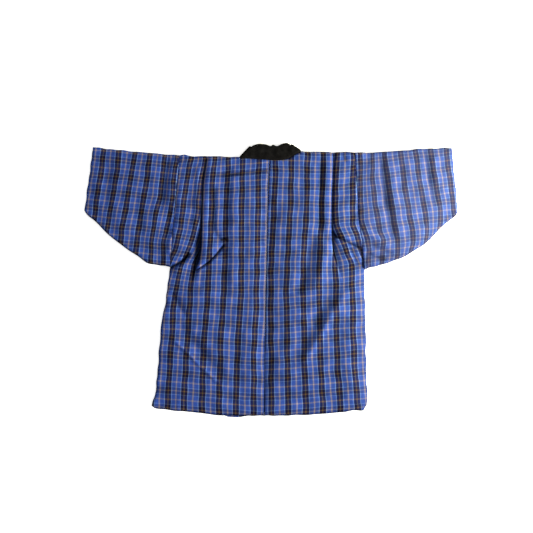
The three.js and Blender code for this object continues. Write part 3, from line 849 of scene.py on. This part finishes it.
def collar(band):
    w, down, up = wadding, band["faceDown"], band["faceUp"]
    bend = (w["wall"] + w["slit"]) / 2             # radius of the band's middle at a fold
    runs = []
    for table, half, side in ((band["leftFront"], leftHalf, 1),
                              (band["rightFront"], rightHalf, -1)):
        seamY, freeX, freeY = sectionRun(band["frontSections"], table["seamY"],
                                         table["freeX"], table["freeY"])
        seamX = xAt(half["frontEdge"], seamY)
        runs.append([seamX + side * w["seamGap"], seamY, freeX, freeY,
                     np.full_like(seamX, down)])
    neck = band["neck"]
    neckRun = sectionRun(band["neckSections"], neck["seamX"], neck["seamY"], neck["freeX"],
                         neck["freeY"])
    neckRun.append(np.full_like(neckRun[0], up))
    turns = np.linspace(down, up, band["foldSections"])
    folds = [[np.full_like(turns, value) for value in (*fold["seam"], *fold["free"])] + [facing]
             for fold, facing in ((band["leftFold"], turns), (band["rightFold"], -turns))]
    seamX, seamY, freeX, freeY, turn = (
        np.concatenate(column)[:, None]
        for column in zip(runs[0], folds[0], neckRun, folds[1], runs[1]))
    angle = np.radians(turn)
    width = np.hypot(freeX - seamX, freeY - seamY)
    side = np.where(seamX < 0, 1, -1)
    awayX, awayY = -side * (freeY - seamY) / width, side * (freeX - seamX) / width
    share = crowdedShares(band["columns"], band["columnCrowds"])[None, :]
    x, y = blend(seamX, freeX, share), blend(seamY, freeY, share)
    thick = w["wall"] * fullness(np.minimum(share, 1 - share) * width, band["round"])
    bulge = 4 * share * (1 - share)                # a parabola from 0 to 1 and back
    thick = thick + unevenness(x, y, band["waves"]) * (turn > band["wavesFrom"]) * bulge

    def offset(distance):
        return np.stack([x + awayX * np.cos(angle) * distance,
                         y + awayY * np.cos(angle) * distance,
                         middle + np.sin(angle) * distance], -1)

    outer, inner = offset(bend - w["wall"] / 2 + thick), offset(0 * x + bend - w["wall"] / 2)
    middleLine = np.stack([(seamX + freeX) / 2, (seamY + freeY) / 2], -1)[:, 0]
    run = np.concatenate([[0], np.cumsum(np.hypot(*np.diff(middleLine, axis=0).T))])
    place = np.stack([share * width, run[:, None] + 0 * x], -1)
    return closedCloth(band["name"], outer, inner, place,
                       np.ones((len(outer) - 1, outer.shape[1] - 1), bool), np.zeros(0))


# Materials

screenGamma = 2.2
usualNoise = (0.3, 0.7)        # where nearly all of a noise texture's values lie


def linear(code):
    # An sRGB hex colour as linear light, by the curve of the sRGB standard
    srgb = np.array([int(code[k:k + 2], 16) for k in (1, 3, 5)]) / 255
    return (*np.where(srgb <= 0.04045, srgb / 12.92, ((srgb + 0.055) / 1.055) ** 2.4), 1.0)


def addNode(tree, kind, inputs=None, stops=None, **settings):
    # A node with its settings, its ramp's stops, and its inputs, each a value or a link
    made = tree.nodes.new(kind)
    for key, value in settings.items():
        setattr(made, key, value)
    for position, code in stops or []:
        ramp = made.color_ramp.elements
        stop = ramp[0] if position == 0 else ramp.new(position)
        stop.color = linear(code)
    if stops:
        made.color_ramp.elements.remove(made.color_ramp.elements[-1])
        made.color_ramp.interpolation = "CONSTANT"
    for key, value in (inputs or {}).items():
        if isinstance(value, bpy.types.NodeSocket):
            tree.links.new(value, made.inputs[key])
        else:
            made.inputs[key].default_value = value
    return made


def newMaterial(name):
    material = bpy.data.materials.new(name)
    material.use_nodes = True
    material.node_tree.nodes.clear()
    return material, material.node_tree


# Yarn-dyed cotton in a checked plain weave: dyed yarns, not a print, so every crossing is a
# mixture of its two yarns, and the surface is matt with a fine rib.
checkedCotton = {
    "repeat": 56,              # of the check, across and along alike
    "weftShows": 0.26,         # how much of a crossing is weft
    # painted shade: how far the painted shade attribute darkens the colour at 1
    "foldShade": 0.9,
    # Half a repeat, from the middle of the dark stripe: colour and width in millimetres
    "half": [("orange", 2.1), ("dark", 8.1), ("pale", 2.7), ("blue", 5.7), ("deepBlue", 1.2),
             ("blue", 5.7), ("pink", 2.5)],
    "warp": {"dark": "#0c0b26", "orange": "#372d1f", "pale": "#516b9b", "blue": "#283e81",
             "deepBlue": "#233878", "pink": "#6c6679"},
    "weft": {"dark": "#191c39", "orange": "#896b40", "pale": "#6f88b2", "blue": "#2a4289",
             "deepBlue": "#25397f", "pink": "#a58a79"},
    "rib": 1.3,                # the yarns' rib, drawn coarser than it is so that it shows
    "ribShows": 0.12,          # how much the rib changes what shows of the weft
    # The lines of the check wander by a few millimetres: waves per metre, metres
    "wander": 14, "wanderBy": (0.008, 0.006, 0),
    # Yarns differ a little in strength of colour: streaks along the warp and along the weft
    "streaks": ((900, 14, 1), (12, 900, 1)), "streakShade": 0.16,
    # The cloth's lustre changes from place to place as the wadding swells
    "lustre": {"Scale": 26, "Detail": 4, "Roughness": 0.6}, "lustreShade": 0.18,
    "slub": {"Scale": 420, "Detail": 3}, "ribHeight": 0.5,
    "bump": 0.35, "bumpDepth": 0.0004,
    "ior": 1.45, "roughness": 0.6, "sheen": 0.06, "sheenRoughness": 0.4,
    "sheenTint": "#8c9cd0",
    # Painted haze: from x = 262 to 330 mm and fully beyond, over the right sleeve and side by the
    # near lamp, the colour is mixed towards a pale grey-blue in place of that lamp's glare
    "nap": {"from": 262, "to": 330, "share": 0.21, "colour": "#495287"},
}


def chartStops(half, colours, repeat):
    # The whole repeat from its half: the half forwards, then mirrored
    widths = np.array([width for _, width in half])
    widths *= repeat / 2 / widths.sum()
    names = [name for name, _ in half]
    names, widths = names + names[::-1], np.concatenate([widths, widths[::-1]])
    starts = np.concatenate([[0], np.cumsum(widths)[:-1]]) / repeat
    stops = [(float(start), colours[name]) for start, name in zip(starts, names)]
    return [stop for k, stop in enumerate(stops) if k == 0 or stop[1] != stops[k - 1][1]]


def ribWave(tree, way, spacing):
    # The sine of the way along the cloth, a wave for each spacing
    turn = addNode(tree, "ShaderNodeMath", {0: way, 1: 2 * np.pi / (spacing * metre)},
                   operation="MULTIPLY").outputs[0]
    return addNode(tree, "ShaderNodeMath", {0: turn}, operation="SINE").outputs[0]


def mottled(tree, colour, place, noise, change):
    # The colour times 1 - change to 1 + change, over the noise's usual values
    low, high = usualNoise
    cloud = addNode(tree, "ShaderNodeTexNoise", {"Vector": place, **noise}).outputs["Fac"]
    grey = addNode(tree, "ShaderNodeMapRange", {0: cloud, 1: low, 2: high, 3: 1 - change,
                   4: 1 + change}).outputs[0]
    return addNode(tree, "ShaderNodeVectorMath", {0: colour, "Scale": grey},
                   operation="SCALE").outputs[0]


def finishCloth(tree, look, colour, height):
    # Matt cotton, with a bump for its yarns and a faint sheen. It has no gloss, because a low
    # lamp on its far side would turn it to satin.
    bump = addNode(tree, "ShaderNodeBump", {"Height": height, "Strength": look["bump"],
                   "Distance": look["bumpDepth"]}).outputs["Normal"]
    shader = addNode(tree, "ShaderNodeBsdfPrincipled", {
        "Base Color": colour, "Roughness": look["roughness"], "Normal": bump,
        "IOR": look["ior"], "Specular IOR Level": 0, "Sheen Weight": look["sheen"],
        "Sheen Roughness": look["sheenRoughness"], "Sheen Tint": linear(look["sheenTint"])})
    addNode(tree, "ShaderNodeOutputMaterial", {"Surface": shader.outputs[0]})


def checkMaterial(look):
    material, tree = newMaterial("yarnDyedCheckedCotton")
    place = addNode(tree, "ShaderNodeUVMap", uv_map="clothPlace").outputs["UV"]
    wander = addNode(tree, "ShaderNodeTexNoise", {"Vector": place, "Scale": look["wander"],
                     "Detail": 1})
    shifted = addNode(tree, "ShaderNodeVectorMath", {
        0: wander.outputs["Color"], 1: (0.5, 0.5, 0.5)}, operation="SUBTRACT").outputs[0]
    shifted = addNode(tree, "ShaderNodeVectorMath", {
        0: shifted, 1: look["wanderBy"], 2: place}, operation="MULTIPLY_ADD").outputs[0]
    axes = addNode(tree, "ShaderNodeSeparateXYZ", {0: shifted})
    threads = {}
    for name, axis in (("warp", "X"), ("weft", "Y")):
        repeats = addNode(tree, "ShaderNodeMath", {0: axes.outputs[axis],
                          1: 1 / (look["repeat"] * metre)}, operation="MULTIPLY").outputs[0]
        share = addNode(tree, "ShaderNodeMath", {0: repeats}, operation="FRACT").outputs[0]
        dyed = addNode(tree, "ShaderNodeValToRGB", {0: share}, chartStops(
            look["half"], look[name], look["repeat"])).outputs["Color"]
        threads[name] = addNode(tree, "ShaderNodeGamma", {
            "Color": dyed, "Gamma": 1 / screenGamma}).outputs["Color"]

    # The rib of the weave: one wave across the cloth and one along it
    weave = addNode(tree, "ShaderNodeMath", {
        0: ribWave(tree, axes.outputs["X"], look["rib"]),
        1: ribWave(tree, axes.outputs["Y"], look["rib"])}, operation="MULTIPLY").outputs[0]
    shows = addNode(tree, "ShaderNodeMath", {0: weave, 1: look["ribShows"],
                    2: look["weftShows"]}, operation="MULTIPLY_ADD").outputs[0]
    # Light is lost between yarns of two colours, so they are mixed as the eye sees them
    colour = addNode(tree, "ShaderNodeMix", {"Factor": shows, 6: threads["warp"],
                     7: threads["weft"]}, data_type="RGBA").outputs[2]
    colour = addNode(tree, "ShaderNodeGamma", {
        "Color": colour, "Gamma": screenGamma}).outputs["Color"]
    for stretch in look["streaks"]:
        drawn = addNode(tree, "ShaderNodeVectorMath", {0: place, 1: stretch},
                        operation="MULTIPLY").outputs[0]
        colour = mottled(tree, colour, drawn, {"Scale": 1, "Detail": 2}, look["streakShade"])
    colour = mottled(tree, colour, place, look["lustre"], look["lustreShade"])
    # Painted shade: the bottom of a fold, the edge of a seam and the line under a rolled edge
    # are darker, and a ridge is paler, by the painted shade attribute
    paintedShade = addNode(tree, "ShaderNodeAttribute", attribute_name="paintedShade").outputs["Fac"]
    lit = addNode(tree, "ShaderNodeMath", {0: paintedShade, 1: -look["foldShade"], 2: 1},
                  operation="MULTIPLY_ADD").outputs[0]
    colour = addNode(tree, "ShaderNodeVectorMath", {0: colour, "Scale": lit},
                     operation="SCALE").outputs[0]
    # Painted haze: the colour mixed towards a pale grey-blue over the right side, by x alone
    nap = look["nap"]
    across = addNode(tree, "ShaderNodeSeparateXYZ", {
        0: addNode(tree, "ShaderNodeTexCoord").outputs["Object"]}).outputs["X"]
    paintedHaze = addNode(tree, "ShaderNodeMapRange", {0: across, 1: nap["from"] * metre,
                     2: nap["to"] * metre, 3: 0, 4: nap["share"]}).outputs[0]
    colour = addNode(tree, "ShaderNodeMix", {"Factor": paintedHaze, 6: colour,
                     7: linear(nap["colour"])}, data_type="RGBA").outputs[2]
    slub = addNode(tree, "ShaderNodeTexNoise", {"Vector": place, **look["slub"]})
    height = addNode(tree, "ShaderNodeMath", {0: weave, 1: look["ribHeight"],
                     2: slub.outputs["Fac"]}, operation="MULTIPLY_ADD").outputs[0]
    finishCloth(tree, look, colour, height)
    return material


# Black cotton with a short brushed nap, woven plain: matte, with a little dust-grey bloom
blackCotton = {
    "colour": "#090909", "worn": "#161617",
    "bloom": {"Scale": 60, "Detail": 5}, "nap": {"Scale": 900, "Detail": 2},
    "wornFrom": 0.15, "wornTo": 0.4,     # of bloom times nap
    "rib": 1.6, "ribHeight": 0.3, "bump": 0.5, "bumpDepth": 0.0005,
    "ior": 1.45, "roughness": 0.88, "sheen": 0.03, "sheenRoughness": 0.5,
    "sheenTint": "#8c8780",
}


def collarMaterial(look):
    material, tree = newMaterial("brushedBlackCotton")
    place = addNode(tree, "ShaderNodeUVMap", uv_map="clothPlace").outputs["UV"]
    bloom, nap = (addNode(tree, "ShaderNodeTexNoise", {
        "Vector": place, **look[name]}).outputs["Fac"] for name in ("bloom", "nap"))
    share = addNode(tree, "ShaderNodeMath", {0: bloom, 1: nap},
                    operation="MULTIPLY").outputs[0]
    share = addNode(tree, "ShaderNodeMapRange", {0: share, 1: look["wornFrom"],
                    2: look["wornTo"]}).outputs[0]
    colour = addNode(tree, "ShaderNodeMix", {"Factor": share, 6: linear(look["colour"]),
                     7: linear(look["worn"])}, data_type="RGBA").outputs[2]
    axes = addNode(tree, "ShaderNodeSeparateXYZ", {0: place})
    height = addNode(tree, "ShaderNodeMath", {
        0: ribWave(tree, axes.outputs["Y"], look["rib"]), 1: look["ribHeight"], 2: nap},
        operation="MULTIPLY_ADD").outputs[0]
    finishCloth(tree, look, colour, height)
    return material


# Floor and light

studio = {
    # A lit white table, in metres
    "floorSize": 9, "floorColour": "#f4f4f2", "floorRoughness": 0.9, "floorGlow": 0.6,
    "skyColour": "#ffffff", "skyStrength": 0.645,
    # Soft lights: place and what they face, in metres, size, power in watts
    "lights": [
        {"name": "softRight", "at": (1.12, 0.2, 0.44), "towards": (0.4, 0.1, 0),
         "size": 0.45, "power": 32.5, "colour": "#fff0b8"},
        {"name": "farWindow", "at": (5, -1.1, 1.45), "towards": (0, 0, 0),
         "size": 1.3, "power": 730, "colour": "#ffffff"},
    ],
}


def buildStudio(setup):
    half = setup["floorSize"] / 2
    mesh = bpy.data.meshes.new("floor")
    mesh.from_pydata([(-half, -half, 0), (half, -half, 0), (half, half, 0), (-half, half, 0)],
                     [], [(0, 1, 2, 3)])
    material, tree = newMaterial("paintedFloor")
    shader = addNode(tree, "ShaderNodeBsdfPrincipled", {
        "Base Color": linear(setup["floorColour"]), "Roughness": setup["floorRoughness"],
        "Emission Color": linear(setup["floorColour"]), "Emission Strength": setup["floorGlow"]})
    addNode(tree, "ShaderNodeOutputMaterial", {"Surface": shader.outputs[0]})
    mesh.materials.append(material)
    floor = newObject("floor", mesh)
    for light in setup["lights"]:
        data = bpy.data.lights.new(light["name"], "AREA")
        data.size = light["size"]
        data.energy = light["power"]
        data.color = linear(light["colour"])[:3]
        lamp = newObject(light["name"], data)
        lamp.location = light["at"]
        lamp.visible_camera = False
        towards = np.array(light["towards"]) - light["at"]
        lamp.rotation_euler = (np.arctan2(np.hypot(*towards[:2]), -towards[2]), 0,
                               np.arctan2(towards[1], towards[0]) - np.pi / 2)
    world = bpy.data.worlds.new("sky")
    world.use_nodes = True
    sky = world.node_tree.nodes["Background"]
    sky.inputs["Color"].default_value = linear(setup["skyColour"])
    sky.inputs["Strength"].default_value = setup["skyStrength"]
    bpy.context.scene.world = world
    return floor


# The garment

floor = buildStudio(studio)
print("floor and lights set")

checked = checkMaterial(checkedCotton), "checked_cotton"
black = collarMaterial(blackCotton), "black_cotton"
for build, shape, (material, slot) in (
        (bodyHalf, leftHalf, checked), (bodyHalf, rightHalf, checked),
        (sleeve, leftSleeve, checked), (sleeve, rightSleeve, checked),
        (collar, collarBand, black)):
    piece = build(shape)
    piece.data.materials.append(material)
    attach(piece, "root")
    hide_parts(shape["node"])
print("cloth laid out")
